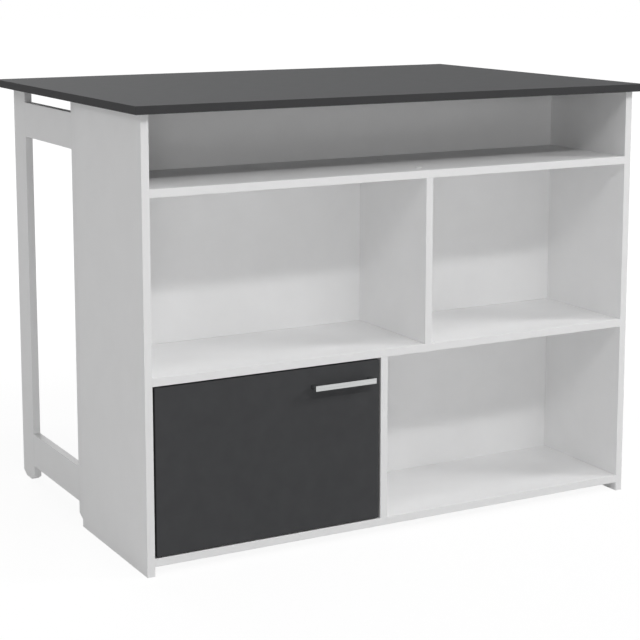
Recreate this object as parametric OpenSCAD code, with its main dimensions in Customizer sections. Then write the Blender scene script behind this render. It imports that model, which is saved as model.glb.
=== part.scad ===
// Bar table with a storage unit on the front side and an open seating side.
// The tabletop rests on the two side panels of the storage unit and on two side frames
// behind it. Each frame is a wide post screwed inside the unit, two rails and a rear leg.
// One door, hung on two pivot pins, closes the lower left compartment.
// Origin: on the floor, under the centre of the overall box. The storage unit faces -Y.

/* [Tabletop] */
// Height of the worktop above the floor
table_h = 900; // [860:1:1000]
// Depth of the tabletop from front to back
top_d = 800; // [780:1:900]
// Thickness of the tabletop
top_t = 16; // [16:1:30]
// How far the tabletop stands out past each side panel
top_over_side = 16; // [2:1:30]
// How far the tabletop stands out in front of the storage unit
top_over_front = 18; // [0:1:20]

/* [Storage unit] */
// Outer width of the storage unit
unit_w = 1136; // [1060:1:1250]
// Depth of the two side panels
unit_d = 340; // [330:1:370]
// Thickness of the side panels
side_t = 16; // [16:1:19]
// Thickness of the bottom board and the shelves
shelf_t = 16; // [16:1:19]
// Depth of the bottom board and the shelves, up to the back panels
shelf_d = 266; // [240:1:276]
// Thickness of the two upright dividers
divider_t = 16; // [16:1:22]
// Thickness of the two back panels
back_t = 16; // [12:1:19]
// Clear height under the bottom board
toe_h = 19; // [10:1:40]
// Clear height of the lower compartments
lower_h = 336; // [280:1:350]
// Clear height of the middle compartments
middle_h = 341; // [280:1:350]
// Clear width of the left middle compartment
left_middle_w = 602; // [500:1:700]
// Clear width of the door compartment
door_bay_w = 498; // [400:1:600]

/* [Side frames] */
// Thickness of the legs, posts and rails
frame_t = 16; // [16:1:19]
// Distance from the front of the unit to the rear face of the rear legs
frame_reach = 756; // [700:1:760]
// Width of a rear leg
leg_w = 72; // [60:1:90]
// Width of a post, of which the front part lies inside the unit
post_w = 120; // [110:1:140]
// Height of a rail board
rail_h = 75; // [65:1:90]
// Slot between the tabletop and the top rail
slot_h = 29; // [20:1:60]
// Clear height under the bottom rail
rail_floor_h = 35; // [25:1:80]
// Length of the bevel at the corners of a foot
foot_bevel_l = 20; // [5:1:25]
// Height of the bevel at the corners of a foot
foot_bevel_h = 10; // [4:1:15]

/* [Door] */
// Thickness of the door
door_t = 16; // [16:1:19]
// Gap at the left and right edges of the door
door_gap_side = 4; // [3.5:0.5:6]
// Gap above and below the door
door_gap_end = 3; // [3:0.5:5]
// Distance from the hinged edge of the door to the pivot axis
pivot_inset = 8; // [7.5:0.5:9]
// Distance from the front face of the door to the pivot axis
pivot_setback = 7; // [6.5:0.5:8]
// Diameter of a pivot pin
pin_d = 5; // [4:0.5:6]
// Length of a pivot pin inside the fixed board
pin_root = 9; // [6:1:11]
// Length of a pivot pin inside the door bush
pin_reach = 10; // [7:1:12]
// Running clearance round a pivot pin, on the radius
pin_play = 0.05; // [0.02:0.01:0.1]
// Outer diameter of a pivot bush
bush_d = 8; // [7.5:0.5:9]
// Diameter of the flange of a bush and of the collar of a pin
flange_d = 11; // [10:0.5:12]
// Thickness of the flange of a bush
flange_t = 1; // [0.8:0.1:1.2]

/* [Handle] */
// Distance between the two handle screws
handle_pitch = 128; // [96:32:160]
// Height of the handle bar
bar_h = 11; // [8:1:16]
// Thickness of the handle bar
bar_t = 5; // [4:1:8]
// How far the handle stands out from the door
handle_reach = 22; // [20:1:35]
// Width of a handle post
handle_post_w = 10; // [8:1:12]
// Height of a handle post
handle_post_h = 9; // [7:1:11]
// Distance from the free edge of the door to the end of the handle
handle_from_edge = 19; // [12:1:60]
// Distance from the top edge of the door to the top of the handle
handle_drop = 32; // [20:1:80]

/* [Magnetic catch] */
// Width of the catch housing
catch_w = 46; // [40:1:50]
// Depth of the catch housing
catch_d = 14; // [13:1:20]
// Height of the catch housing
catch_h = 15; // [14:1:18]
// Distance from the free edge of the door to the middle of the catch
catch_from_edge = 60; // [40:1:90]
// Width of the magnet and its pole plates
magnet_w = 22; // [16:1:24]
// Height of the magnet block between the pole plates
magnet_h = 5; // [4:1:6]
// Thickness of a pole plate
pole_t = 1.5; // [1:0.5:2]
// Width of the strike plate
strike_w = 36; // [28:1:40]
// Height of the strike plate
strike_h = 13; // [12:1:16]
// Thickness of the strike plate
strike_t = 1.5; // [1:0.5:2]

/* [Fittings] */
// Diameter of a wooden dowel
dowel_d = 8; // [6:1:8]
// Length of a dowel in the edge of a board
dowel_in_edge = 20; // [15:1:25]
// Length of a dowel in the face of a board
dowel_in_face = 11; // [8:1:11]
// Diameter of a cam
cam_d = 15; // [14:0.5:16]
// Height of a cam
cam_h = 12.5; // [11.5:0.5:13]
// Distance from the end of a board to the middle of its cam
cam_reach = 34; // [30:1:40]
// Diameter of the shank of a cam bolt
bolt_d = 5; // [4.5:0.5:5.5]
// Diameter of the head of a cam bolt
bolt_head_d = 6.5; // [6:0.5:7]
// Length of the thread of a cam bolt in the mating board
bolt_root = 11; // [9:1:12]
// Length of the head of a cam bolt
bolt_head_l = 3; // [2:0.5:4]
// Length of the collar of a cam bolt at the seam
bolt_collar_l = 1.5; // [1:0.5:3]
// Diameter of the shank of a long board screw
screw_d = 5; // [4:0.5:5.5]
// Length of a long board screw under its head
screw_l = 48; // [40:1:55]
// Diameter of the head of a long board screw
screw_head_d = 10; // [9:0.5:12]
// Height of the head of a long board screw
screw_head_h = 3; // [2:0.5:3.5]
// Diameter of a cover cap
cap_d = 13; // [12:0.5:15]
// Thickness of a cover cap
cap_t = 1.5; // [0.8:0.1:2]
// Distance from the front of the unit to the front cap at each divider
cap_front_depth = 45; // [25:1:60]
// Distance from the front of the unit to the rear cap at each divider
cap_rear_depth = 198; // [150:1:215]
// Diameter of the shank of a short screw
short_d = 3.5; // [3:0.5:4]
// Diameter of the head of a short screw
short_head_d = 7; // [6:0.5:8]
// Height of the head of a short screw
short_head_h = 2; // [1.5:0.5:2.5]
// Length of a screw that joins a post to its side panel
post_screw_l = 27; // [24:1:28]
// Diameter of the shank of a post screw
post_screw_d = 4.5; // [4:0.5:5]
// Diameter of the head of a post screw
post_screw_head_d = 8; // [7:0.5:9]
// Length of each arm of a tabletop bracket
bracket_arm = 30; // [26:1:36]
// Width of a tabletop bracket
bracket_w = 24; // [18:1:30]
// Thickness of a tabletop bracket
bracket_t = 2; // [1.5:0.5:3]
// Clearance of a fitting in its hole, on the radius
fit_gap = 0.1; // [0.05:0.05:0.15]

/* [Hidden] */

white = [0.86, 0.86, 0.865];
anthracite = [0.25, 0.255, 0.265];
steel = [0.72, 0.73, 0.74];
brushed = [0.78, 0.78, 0.77];
zinc = [0.62, 0.62, 0.6];
beech = [0.78, 0.62, 0.42];
nylon = [0.9, 0.89, 0.86];
black_nylon = [0.14, 0.14, 0.145];
blackened_steel = [0.2, 0.2, 0.205];
magnet_black = [0.12, 0.12, 0.12];

$fn = 48;
// How far a cut reaches past the face that it opens
cut = 1;
// Air past the end of a screw or dowel
hole_end_gap = 0.5;
// Clearance round the head of a screw or bolt, on the radius
loose_gap = 2 * fit_gap;

// Overall places. The depth coordinate d counts from the front plane of the unit.
top_z = table_h - top_t;
top_w = unit_w + 2 * top_over_side;
front_reach = max(top_over_front, handle_reach);
unit_y = front_reach - (top_d - top_over_front + front_reach) / 2;
inner_w = unit_w - 2 * side_t;
inner_x = inner_w / 2;
back_rear = shelf_d + back_t;

// Heights of the boards' undersides
bottom_z = toe_h;
middle_z = bottom_z + shelf_t + lower_h;
upper_z = middle_z + shelf_t + middle_h;

// Left faces of the dividers
upper_divider_x = -inner_x + left_middle_w;
lower_divider_x = -inner_x + door_bay_w;

// Side frames
frame_x = inner_x;
post_rear = back_rear + post_w;
leg_front = frame_reach - leg_w;
rail_l = leg_front - post_rear;
top_rail_z = top_z - slot_h - rail_h;

// Door
door_w = door_bay_w - 2 * door_gap_side;
door_h = lower_h - 2 * door_gap_end;
door_x = -inner_x + door_gap_side;
door_z = bottom_z + shelf_t + door_gap_end;
pivot_x = door_x + pivot_inset;
pivot_gap = 0.3;
collar_t = door_gap_end - flange_t - pivot_gap;
bush_l = pin_reach - flange_t + hole_end_gap * 2;

// Handle
bar_l = handle_pitch + handle_post_w;
bar_x = door_x + door_w - handle_from_edge - bar_l;
bar_mid_z = door_z + door_h - handle_drop - bar_h / 2;
handle_post_l = handle_reach - bar_t;
handle_screw_xs = [bar_x + handle_post_w / 2, bar_x + handle_post_w / 2 + handle_pitch];
handle_screw_in = 10;
handle_hole_gap = 0.5;

// Catch and strike plate
catch_x = door_x + door_w - catch_from_edge;
catch_gap = 0.3;
catch_front = door_t + strike_t + catch_gap;
catch_mid_z = middle_z - catch_h / 2;
catch_slot_h = magnet_h + 2 * pole_t;
catch_screw_dx = (catch_w + magnet_w) / 4;
catch_screw_in = 10;
magnet_d = 9;
magnet_recess = 1;
strike_screw_in = 9;
strike_screw_head_d = short_head_d - 1;
strike_screw_land = 0.2;
strike_screw_head_h = strike_t - strike_screw_land;

// Places of the fittings along the boards
hole_pitch = 32;
cam_inset = 45;
cam_ds = [cam_inset, shelf_d - cam_inset];
dowel_ds = [cam_inset + hole_pitch, shelf_d - cam_inset - hole_pitch];
board_zs = [bottom_z, middle_z, upper_z];
divider_dowel_inset = 60;
divider_dowel_ds = [divider_dowel_inset, shelf_d - divider_dowel_inset];
cap_ds = [cap_front_depth, cap_rear_depth];
tabletop_dowel_inset = 40;
tabletop_dowel_ds = [tabletop_dowel_inset, unit_d / 2, unit_d - tabletop_dowel_inset];
rail_dowel_inset = 15;
rail_dowel_dz = rail_h / 2 - rail_dowel_inset;
post_screw_depth = (back_rear + unit_d) / 2;
post_screw_low_z = 120;
post_screw_top_inset = 60;
post_screw_high_z = top_z - post_screw_top_inset;
post_screw_count = 4;
back_screw_inset = 90;
back_screw_count = 4;
bracket_from_rear = 30;
bracket_ds = [post_rear - bracket_from_rear, leg_front + leg_w / 2];
bracket_hole_inset = 12;
bracket_hole_at = bracket_arm - bracket_hole_inset;
bracket_screw_in = 12;

// Shifts its children from the unit's front plane to the object's own frame.
module in_frame() {
    translate([0, unit_y, 0]) children();
}

// Draws its children at the left side, or mirrored at the right side.
module on_side(side) {
    if (side < 0) children();
    else mirror([1, 0, 0]) children();
}

// Draws its children at both sides.
module both_sides() {
    for (side = [-1, 1]) on_side(side) children();
}

// A round bar along +X from its origin.
module rod_x(d, l) {
    rotate([0, 90, 0]) cylinder(d = d, h = l);
}

// A flat-headed screw that points up from its origin, with its head at the bottom.
module flat_screw(shank_d, length, head_d, head_h) {
    rotate_extrude() polygon([
        [0, 0], [head_d / 2, 0],
        [shank_d / 2, head_h], [shank_d / 2, length],
        [0, length]
    ]);
}

// The hole of a flat-headed screw, open at its head.
module flat_screw_hole(shank_d, length, head_d, head_h) {
    head_r = head_d / 2 + fit_gap;
    shank_r = shank_d / 2 + fit_gap;
    end_z = length + hole_end_gap;
    rotate_extrude() polygon([
        [0, -cut], [head_r, -cut], [head_r, 0],
        [shank_r, head_h], [shank_r, end_z],
        [0, end_z]
    ]);
}

// A dowel along +X: its face end reaches to minus X, its edge end to plus X.
module dowel() {
    translate([-dowel_in_face, 0, 0]) rod_x(dowel_d, dowel_in_face + dowel_in_edge);
}

// The hole of a dowel, open across the seam between the two boards.
module dowel_hole() {
    translate([-dowel_in_face - hole_end_gap, 0, 0])
        rod_x(dowel_d + 2 * fit_gap, dowel_in_face + dowel_in_edge + 2 * hole_end_gap);
}

// A cam bolt along +X: thread in the mating board, head at the middle of the cam.
module cam_bolt() {
    translate([-bolt_root, 0, 0]) rod_x(bolt_d, bolt_root + cam_reach);
    translate([cam_reach - bolt_head_l, 0, 0]) rod_x(bolt_head_d, bolt_head_l);
    rod_x(bolt_head_d, bolt_collar_l);
}

// The cam bolt's hole in the mating board.
module cam_bolt_root_hole() {
    translate([-bolt_root - hole_end_gap, 0, 0]) rod_x(bolt_d + 2 * fit_gap, bolt_root + hole_end_gap + cut);
}

// The cam bolt's hole in the board that holds the cam.
module cam_bolt_run_hole() {
    translate([-cut, 0, 0]) rod_x(bolt_head_d + 2 * loose_gap, cam_reach + cut);
}

// A cam, with its axis along Z and its open face at the lower face of a board t thick.
module cam(t) {
    slot_w = 1.4;
    slot_l = 9;
    slot_depth = 2;
    translate([cam_reach, 0, -t / 2]) difference() {
        cylinder(d = cam_d, h = cam_h);
        translate([-cam_d, 0, t / 2]) rod_x(bolt_head_d + 2 * loose_gap, cam_d + bolt_head_d / 2);
        for (turn = [0, 90])
            rotate([0, 0, turn])
                translate([-slot_l / 2, -slot_w / 2, -cut]) cube([slot_l, slot_w, slot_depth + cut]);
    }
}

// The pocket of a cam in a board t thick.
module cam_pocket(t) {
    translate([cam_reach, 0, -t / 2 - cut]) cylinder(d = cam_d + 2 * fit_gap, h = cam_h + fit_gap + cut);
}

// Places its children at the left end of every shelf board, at each depth in ds.
// The left panel's inner face is the plane x = 0 of the children, and +X goes into the board.
module at_shelf_ends(ds, zs = board_zs) {
    for (z = zs)
        for (d = ds)
            translate([-inner_x, d, z + shelf_t / 2]) children();
}

// Places its children at both ends of the left rails, +X along the rail from its end.
// dz moves them up or down from the rail's middle.
module at_rail_ends(dzs) {
    for (z = [rail_floor_h, top_rail_z])
        for (dz = dzs)
            for (end = [0, 1])
                translate([-frame_x + frame_t / 2, end == 0 ? post_rear : leg_front, z + rail_h / 2 + dz])
                    rotate([0, 0, end == 0 ? 90 : -90])
                        rotate([end == 0 ? -90 : 90, 0, 0])
                            children();
}

// Places its children over the left panel's top edge, +X pointing down into the panel.
module at_panel_top() {
    for (d = tabletop_dowel_ds)
        translate([-unit_w / 2 + side_t / 2, d, top_z]) rotate([0, 90, 0]) children();
}

// Places its children at the foot or the head of a divider whose left face is at x.
// +X of the children goes into the divider.
module at_divider_seam(x, z, up) {
    for (d = divider_dowel_ds)
        translate([x + divider_t / 2, d, z]) rotate([0, up ? -90 : 90, 0]) children();
}

// Places its children at the screws of the dividers, which point into the dividers.
module at_divider_screws() {
    for (d = cap_ds)
        translate([upper_divider_x + divider_t / 2, d, upper_z + shelf_t]) rotate([180, 0, 0]) children();
    for (d = cap_ds)
        translate([lower_divider_x + divider_t / 2, d, bottom_z]) children();
}

// Places its children at the screws of the back panels, which point forward.
module at_back_screws() {
    step = (inner_w - 2 * back_screw_inset) / (back_screw_count - 1);
    for (z = board_zs)
        for (i = [0 : back_screw_count - 1])
            translate([-inner_x + back_screw_inset + i * step, back_rear, z + shelf_t / 2])
                rotate([90, 0, 0]) children();
    translate([upper_divider_x + divider_t / 2, back_rear, middle_z + shelf_t + middle_h / 2])
        rotate([90, 0, 0]) children();
    translate([lower_divider_x + divider_t / 2, back_rear, bottom_z + shelf_t + lower_h / 2])
        rotate([90, 0, 0]) children();
}

// Places its children at the left post's screws, which point out into the side panel.
module at_post_screws() {
    step = (post_screw_high_z - post_screw_low_z) / (post_screw_count - 1);
    for (i = [0 : post_screw_count - 1])
        translate([-frame_x + frame_t, post_screw_depth, post_screw_low_z + i * step])
            rotate([0, -90, 0]) children();
}

// Places its children at the left side's tabletop brackets, in the corner under the tabletop.
// +X of the children goes along the tabletop and -Z goes down the board.
module at_brackets() {
    for (d = bracket_ds)
        translate([-frame_x + frame_t, d, top_z]) children();
}

// The long screw of the dividers and the back panels.
module long_screw() {
    flat_screw(screw_d, screw_l, screw_head_d, screw_head_h);
}

// The hole of a long screw.
module long_screw_hole() {
    flat_screw_hole(screw_d, screw_l, screw_head_d, screw_head_h);
}

// The screw that joins a post to its side panel.
module post_screw() {
    flat_screw(post_screw_d, post_screw_l, post_screw_head_d, short_head_h);
}

// The hole of a post screw.
module post_screw_hole() {
    flat_screw_hole(post_screw_d, post_screw_l, post_screw_head_d, short_head_h);
}

// A pan-headed screw that points up, with the seat of its head at its origin.
module short_screw(length) {
    rotate_extrude() polygon([
        [0, -short_head_h], [short_head_d / 2, -short_head_h],
        [short_head_d / 2, 0], [short_d / 2, 0],
        [short_d / 2, length], [0, length]
    ]);
}

// The hole of a short screw that goes in by the given length, open at its seat.
module short_screw_hole(length) {
    translate([0, 0, -cut]) cylinder(d = short_d + 2 * fit_gap, h = cut + length + hole_end_gap);
}

// Places its children at a bracket's two screws, which point up into the tabletop and out
// into the board.
module at_bracket_screws() {
    translate([bracket_hole_at, 0, -bracket_t]) children();
    translate([bracket_t, 0, -bracket_hole_at]) rotate([0, -90, 0]) children();
}

// The holes of a bracket's two screws, in the bracket and in what it holds.
module bracket_screw_holes() {
    at_bracket_screws() short_screw_hole(bracket_t + bracket_screw_in);
}

module tabletop() {
    color(anthracite) in_frame() difference() {
        translate([-top_w / 2, -top_over_front, top_z]) cube([top_w, top_d, top_t]);
        both_sides() {
            at_panel_top() dowel_hole();
            at_brackets() bracket_screw_holes();
        }
    }
}

// One side panel of the unit, drawn at the left.
module side_panel() {
    color(white) in_frame() difference() {
        translate([-unit_w / 2, 0, 0]) cube([side_t, unit_d, top_z]);
        at_shelf_ends(cam_ds) cam_bolt_root_hole();
        at_shelf_ends(dowel_ds) dowel_hole();
        at_panel_top() dowel_hole();
        at_post_screws() post_screw_hole();
    }
}

// A board between the side panels, with its underside at z.
module shelf_board(z) {
    color(white) in_frame() difference() {
        translate([-inner_x, 0, z]) cube([inner_w, shelf_d, shelf_t]);
        both_sides() {
            at_shelf_ends(cam_ds, [z]) {
                cam_bolt_run_hole();
                cam_pocket(shelf_t);
            }
            at_shelf_ends(dowel_ds, [z]) dowel_hole();
        }
        at_divider_seam(upper_divider_x, middle_z + shelf_t, true) dowel_hole();
        at_divider_seam(lower_divider_x, middle_z, false) dowel_hole();
        at_divider_screws() long_screw_hole();
        at_back_screws() long_screw_hole();
        pivot_root_holes();
        at_catch_screws() short_screw_hole(catch_screw_in);
    }
}

module upper_divider() {
    color(white) in_frame() difference() {
        translate([upper_divider_x, 0, middle_z + shelf_t]) cube([divider_t, shelf_d, middle_h]);
        at_divider_seam(upper_divider_x, middle_z + shelf_t, true) dowel_hole();
        at_divider_screws() long_screw_hole();
        at_back_screws() long_screw_hole();
    }
}

module lower_divider() {
    color(white) in_frame() difference() {
        translate([lower_divider_x, 0, bottom_z + shelf_t]) cube([divider_t, shelf_d, lower_h]);
        at_divider_seam(lower_divider_x, middle_z, false) dowel_hole();
        at_divider_screws() long_screw_hole();
        at_back_screws() long_screw_hole();
    }
}

// A back panel from height z0 to height z1.
module back_panel(z0, z1) {
    color(white) in_frame() difference() {
        translate([-inner_x, shelf_d, z0]) cube([inner_w, back_t, z1 - z0]);
        at_back_screws() long_screw_hole();
    }
}

// The outline of a standing frame board: its feet have bevelled corners.
// It is drawn in the plane of depth and height, from depth d0.
module foot_outline(d0, w, h) {
    polygon([
        [d0 + foot_bevel_l, 0], [d0 + w - foot_bevel_l, 0],
        [d0 + w, foot_bevel_h], [d0 + w, h],
        [d0, h], [d0, foot_bevel_h]
    ]);
}

// A standing frame board at the left, from depth d0 and w wide.
module upright(d0, w) {
    color(white) in_frame() difference() {
        translate([-frame_x, 0, 0]) rotate([90, 0, 90]) linear_extrude(frame_t) foot_outline(d0, w, top_z);
        at_rail_ends([0]) cam_bolt_root_hole();
        at_rail_ends([-rail_dowel_dz, rail_dowel_dz]) dowel_hole();
        at_post_screws() post_screw_hole();
        at_brackets() bracket_screw_holes();
    }
}

// A rail at the left, with its lower edge at z.
module rail(z) {
    color(white) in_frame() difference() {
        translate([-frame_x, post_rear, z]) cube([frame_t, rail_l, rail_h]);
        at_rail_ends([0]) {
            cam_bolt_run_hole();
            cam_pocket(frame_t);
        }
        at_rail_ends([-rail_dowel_dz, rail_dowel_dz]) dowel_hole();
    }
}

module door_panel() {
    color(anthracite) in_frame() difference() {
        translate([door_x, 0, door_z]) cube([door_w, door_t, door_h]);
        at_pivots() translate([0, 0, -cut]) cylinder(d = bush_d + 2 * fit_gap, h = bush_l + hole_end_gap + cut);
        at_handle_screws() translate([0, 0, -door_t - cut])
            cylinder(d = short_d + 2 * handle_hole_gap, h = door_t + 2 * cut);
        at_strike() short_screw_hole(strike_screw_in);
    }
}

// Places its children at the lower and the upper edge of the door on the pivot axis.
// +Z of the children goes into the door.
module at_pivots() {
    translate([pivot_x, pivot_setback, door_z]) children();
    translate([pivot_x, pivot_setback, door_z + door_h]) mirror([0, 0, 1]) children();
}

// The holes for the fixed ends of the pivot pins.
module pivot_root_holes() {
    at_pivots() translate([0, 0, -door_gap_end - pin_root - hole_end_gap])
        cylinder(d = pin_d + 2 * fit_gap, h = pin_root + hole_end_gap + cut);
}

// The bushes are pressed into the edges of the door, and their flanges lie on the edges.
module pivot_bushes() {
    color(black_nylon) in_frame() at_pivots() translate([0, 0, -flange_t]) difference() {
        union() {
            cylinder(d = bush_d, h = flange_t + bush_l);
            cylinder(d = flange_d, h = flange_t);
        }
        translate([0, 0, -cut]) cylinder(d = pin_d + 2 * pin_play, h = pin_reach + hole_end_gap + cut);
    }
}

// Each pin stands in a fixed board, and its collar lies on that board.
module pivot_pins() {
    color(blackened_steel) in_frame() at_pivots() translate([0, 0, -door_gap_end]) {
        translate([0, 0, -pin_root]) cylinder(d = pin_d, h = pin_root + door_gap_end - flange_t + pin_reach);
        cylinder(d = flange_d, h = collar_t);
    }
}

// Places its children at the handle screws on the door's front face, +Z pointing out.
module at_handle_screws() {
    for (x = handle_screw_xs)
        translate([x, 0, bar_mid_z]) rotate([90, 0, 0]) children();
}

module handle_bar() {
    color(brushed) in_frame() translate([bar_x, -handle_reach, bar_mid_z - bar_h / 2]) cube([bar_l, bar_t, bar_h]);
}

module handle_posts() {
    color(brushed) in_frame() at_handle_screws() difference() {
        translate([-handle_post_w / 2, -handle_post_h / 2, 0]) cube([handle_post_w, handle_post_h, handle_post_l]);
        short_screw_hole(handle_screw_in);
    }
}

module handle_screws() {
    color(zinc) in_frame() at_handle_screws() translate([0, 0, -door_t]) short_screw(door_t + handle_screw_in);
}

// Places its children at the catch screws, on the underside of the middle shelf.
module at_catch_screws() {
    for (side = [-1, 1])
        translate([catch_x + side * catch_screw_dx, catch_front + catch_d / 2, middle_z]) children();
}

module catch_housing() {
    slot_w = magnet_w + 2 * fit_gap;
    slot_h_all = catch_slot_h + 2 * fit_gap;
    color(nylon) in_frame() difference() {
        translate([catch_x - catch_w / 2, catch_front, middle_z - catch_h]) cube([catch_w, catch_d, catch_h]);
        translate([catch_x - slot_w / 2, catch_front - cut, catch_mid_z - slot_h_all / 2])
            cube([slot_w, magnet_d + fit_gap + cut, slot_h_all]);
        at_catch_screws() translate([0, 0, -catch_h - cut]) {
            cylinder(d = short_d + 2 * fit_gap, h = catch_h + 2 * cut);
            cylinder(d = short_head_d + 2 * loose_gap, h = cut + catch_h / 2);
        }
    }
}

module catch_magnet() {
    color(magnet_black) in_frame() translate([
        catch_x - magnet_w / 2,
        catch_front + magnet_recess,
        catch_mid_z - magnet_h / 2
    ]) cube([magnet_w, magnet_d - magnet_recess, magnet_h]);
}

module catch_poles() {
    color(zinc) in_frame() for (side = [0, 1]) translate([
        catch_x - magnet_w / 2,
        catch_front,
        catch_mid_z - catch_slot_h / 2 + side * (magnet_h + pole_t)
    ]) cube([magnet_w, magnet_d, pole_t]);
}

module catch_screws() {
    color(zinc) in_frame() at_catch_screws() translate([0, 0, -catch_h / 2])
        short_screw(catch_h / 2 + catch_screw_in);
}

// Places its children at the strike plate, on the back of the door, +Z pointing forward.
module at_strike() {
    translate([catch_x, door_t, catch_mid_z]) rotate([90, 0, 0]) children();
}

module strike_plate() {
    color(zinc) in_frame() at_strike() translate([0, 0, -strike_t]) difference() {
        translate([-strike_w / 2, -strike_h / 2, 0]) cube([strike_w, strike_h, strike_t]);
        flat_screw_hole(short_d, strike_t + cut, strike_screw_head_d, strike_screw_head_h);
    }
}

module strike_screw() {
    color(zinc) in_frame() at_strike() translate([0, 0, -strike_t])
        flat_screw(short_d, strike_t + strike_screw_in, strike_screw_head_d, strike_screw_head_h);
}

module shelf_cams() {
    color(zinc) in_frame() both_sides() at_shelf_ends(cam_ds) cam(shelf_t);
}

module shelf_cam_bolts() {
    color(steel) in_frame() both_sides() at_shelf_ends(cam_ds) cam_bolt();
}

module rail_cams() {
    color(zinc) in_frame() both_sides() at_rail_ends([0]) cam(frame_t);
}

module rail_cam_bolts() {
    color(steel) in_frame() both_sides() at_rail_ends([0]) cam_bolt();
}

module shelf_dowels() {
    color(beech) in_frame() both_sides() at_shelf_ends(dowel_ds) dowel();
}

module rail_dowels() {
    color(beech) in_frame() both_sides() at_rail_ends([-rail_dowel_dz, rail_dowel_dz]) dowel();
}

module divider_dowels() {
    color(beech) in_frame() {
        at_divider_seam(upper_divider_x, middle_z + shelf_t, true) dowel();
        at_divider_seam(lower_divider_x, middle_z, false) dowel();
    }
}

module tabletop_dowels() {
    color(beech) in_frame() both_sides() at_panel_top() dowel();
}

module divider_screws() {
    color(zinc) in_frame() at_divider_screws() long_screw();
}

module back_screws() {
    color(zinc) in_frame() at_back_screws() long_screw();
}

// The caps over the heads of the long screws.
module cover_caps() {
    color(white) in_frame() {
        at_divider_screws() translate([0, 0, -cap_t]) cylinder(d = cap_d, h = cap_t);
        at_back_screws() translate([0, 0, -cap_t]) cylinder(d = cap_d, h = cap_t);
    }
}

module post_screws() {
    color(zinc) in_frame() both_sides() at_post_screws() post_screw();
}

module top_brackets() {
    color(zinc) in_frame() both_sides() at_brackets() difference() {
        union() {
            translate([0, -bracket_w / 2, -bracket_t]) cube([bracket_arm, bracket_w, bracket_t]);
            translate([0, -bracket_w / 2, -bracket_arm]) cube([bracket_t, bracket_w, bracket_arm]);
        }
        bracket_screw_holes();
    }
}

module bracket_screws() {
    color(zinc) in_frame() both_sides() at_brackets() at_bracket_screws()
        short_screw(bracket_t + bracket_screw_in);
}

tabletop();
on_side(-1) side_panel();  // left_side_panel
on_side(1) side_panel();  // right_side_panel
shelf_board(bottom_z);  // bottom_board
shelf_board(middle_z);  // middle_shelf
shelf_board(upper_z);  // upper_shelf
upper_divider();
lower_divider();
back_panel(bottom_z, middle_z + shelf_t);  // lower_back_panel
back_panel(middle_z + shelf_t, top_z);  // upper_back_panel
on_side(-1) upright(back_rear, post_w);  // left_post
on_side(1) upright(back_rear, post_w);  // right_post
on_side(-1) upright(leg_front, leg_w);  // left_rear_leg
on_side(1) upright(leg_front, leg_w);  // right_rear_leg
on_side(-1) rail(top_rail_z);  // left_top_rail
on_side(1) rail(top_rail_z);  // right_top_rail
on_side(-1) rail(rail_floor_h);  // left_bottom_rail
on_side(1) rail(rail_floor_h);  // right_bottom_rail
door_panel();
handle_bar();
handle_posts();
handle_screws();
pivot_bushes();
pivot_pins();
catch_housing();
catch_magnet();
catch_poles();
catch_screws();
strike_plate();
strike_screw();
shelf_cams();
shelf_cam_bolts();
rail_cams();
rail_cam_bolts();
shelf_dowels();
rail_dowels();
divider_dowels();
tabletop_dowels();
divider_screws();
back_screws();
cover_caps();
post_screws();
top_brackets();
bracket_screws();
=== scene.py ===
"""Looks of a bar table with a storage unit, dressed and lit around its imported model."""

import logging
import math
from dataclasses import dataclass
from enum import Enum
from typing import Callable

import bmesh
import bpy
from mathutils import Matrix, Vector


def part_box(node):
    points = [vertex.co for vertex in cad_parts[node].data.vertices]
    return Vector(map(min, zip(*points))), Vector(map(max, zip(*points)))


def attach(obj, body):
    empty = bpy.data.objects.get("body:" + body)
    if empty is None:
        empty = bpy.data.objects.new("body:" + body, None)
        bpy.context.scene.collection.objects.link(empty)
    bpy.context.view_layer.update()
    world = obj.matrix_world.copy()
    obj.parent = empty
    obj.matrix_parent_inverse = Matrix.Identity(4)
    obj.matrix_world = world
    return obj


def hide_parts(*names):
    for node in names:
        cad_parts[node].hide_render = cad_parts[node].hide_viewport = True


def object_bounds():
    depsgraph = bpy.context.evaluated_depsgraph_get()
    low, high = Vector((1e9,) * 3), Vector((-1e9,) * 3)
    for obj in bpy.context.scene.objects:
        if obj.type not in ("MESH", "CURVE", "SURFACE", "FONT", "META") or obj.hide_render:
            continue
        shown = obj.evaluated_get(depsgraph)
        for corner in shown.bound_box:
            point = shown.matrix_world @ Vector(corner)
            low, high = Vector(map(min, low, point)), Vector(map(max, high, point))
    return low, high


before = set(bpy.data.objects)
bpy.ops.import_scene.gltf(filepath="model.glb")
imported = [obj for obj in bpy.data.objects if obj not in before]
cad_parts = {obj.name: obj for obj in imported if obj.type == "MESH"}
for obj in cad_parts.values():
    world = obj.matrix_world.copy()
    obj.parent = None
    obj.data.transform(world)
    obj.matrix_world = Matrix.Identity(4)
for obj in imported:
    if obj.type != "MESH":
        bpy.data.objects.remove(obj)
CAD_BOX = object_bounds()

log = logging.getLogger("bar_table")

Colour = tuple[float, float, float]
Cell = tuple[float, float, float]
Point = tuple[float, float]
Socket = bpy.types.NodeSocket

MM = 0.001
WHITE = (1.0, 1.0, 1.0, 1.0)

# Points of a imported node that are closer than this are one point.
SAME_POINT = 0.001 * MM
# Its faces that turn by less than this are one flat face.
FLAT_WITHIN = math.radians(0.3)
# Its edges that turn by more than this are rounded, in so many steps.
ROUND_FROM = math.radians(35)
ROUND_STEPS = 2
# A bevel of this profile is a quarter circle.
ROUND_PROFILE = 0.5
# Edges of a built piece that turn by more than this keep a sharp shade.
SHARP_FROM = math.radians(50)
# The values between which most of a noise lies.
NOISE_LOW = 0.3
NOISE_HIGH = 0.7


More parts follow.
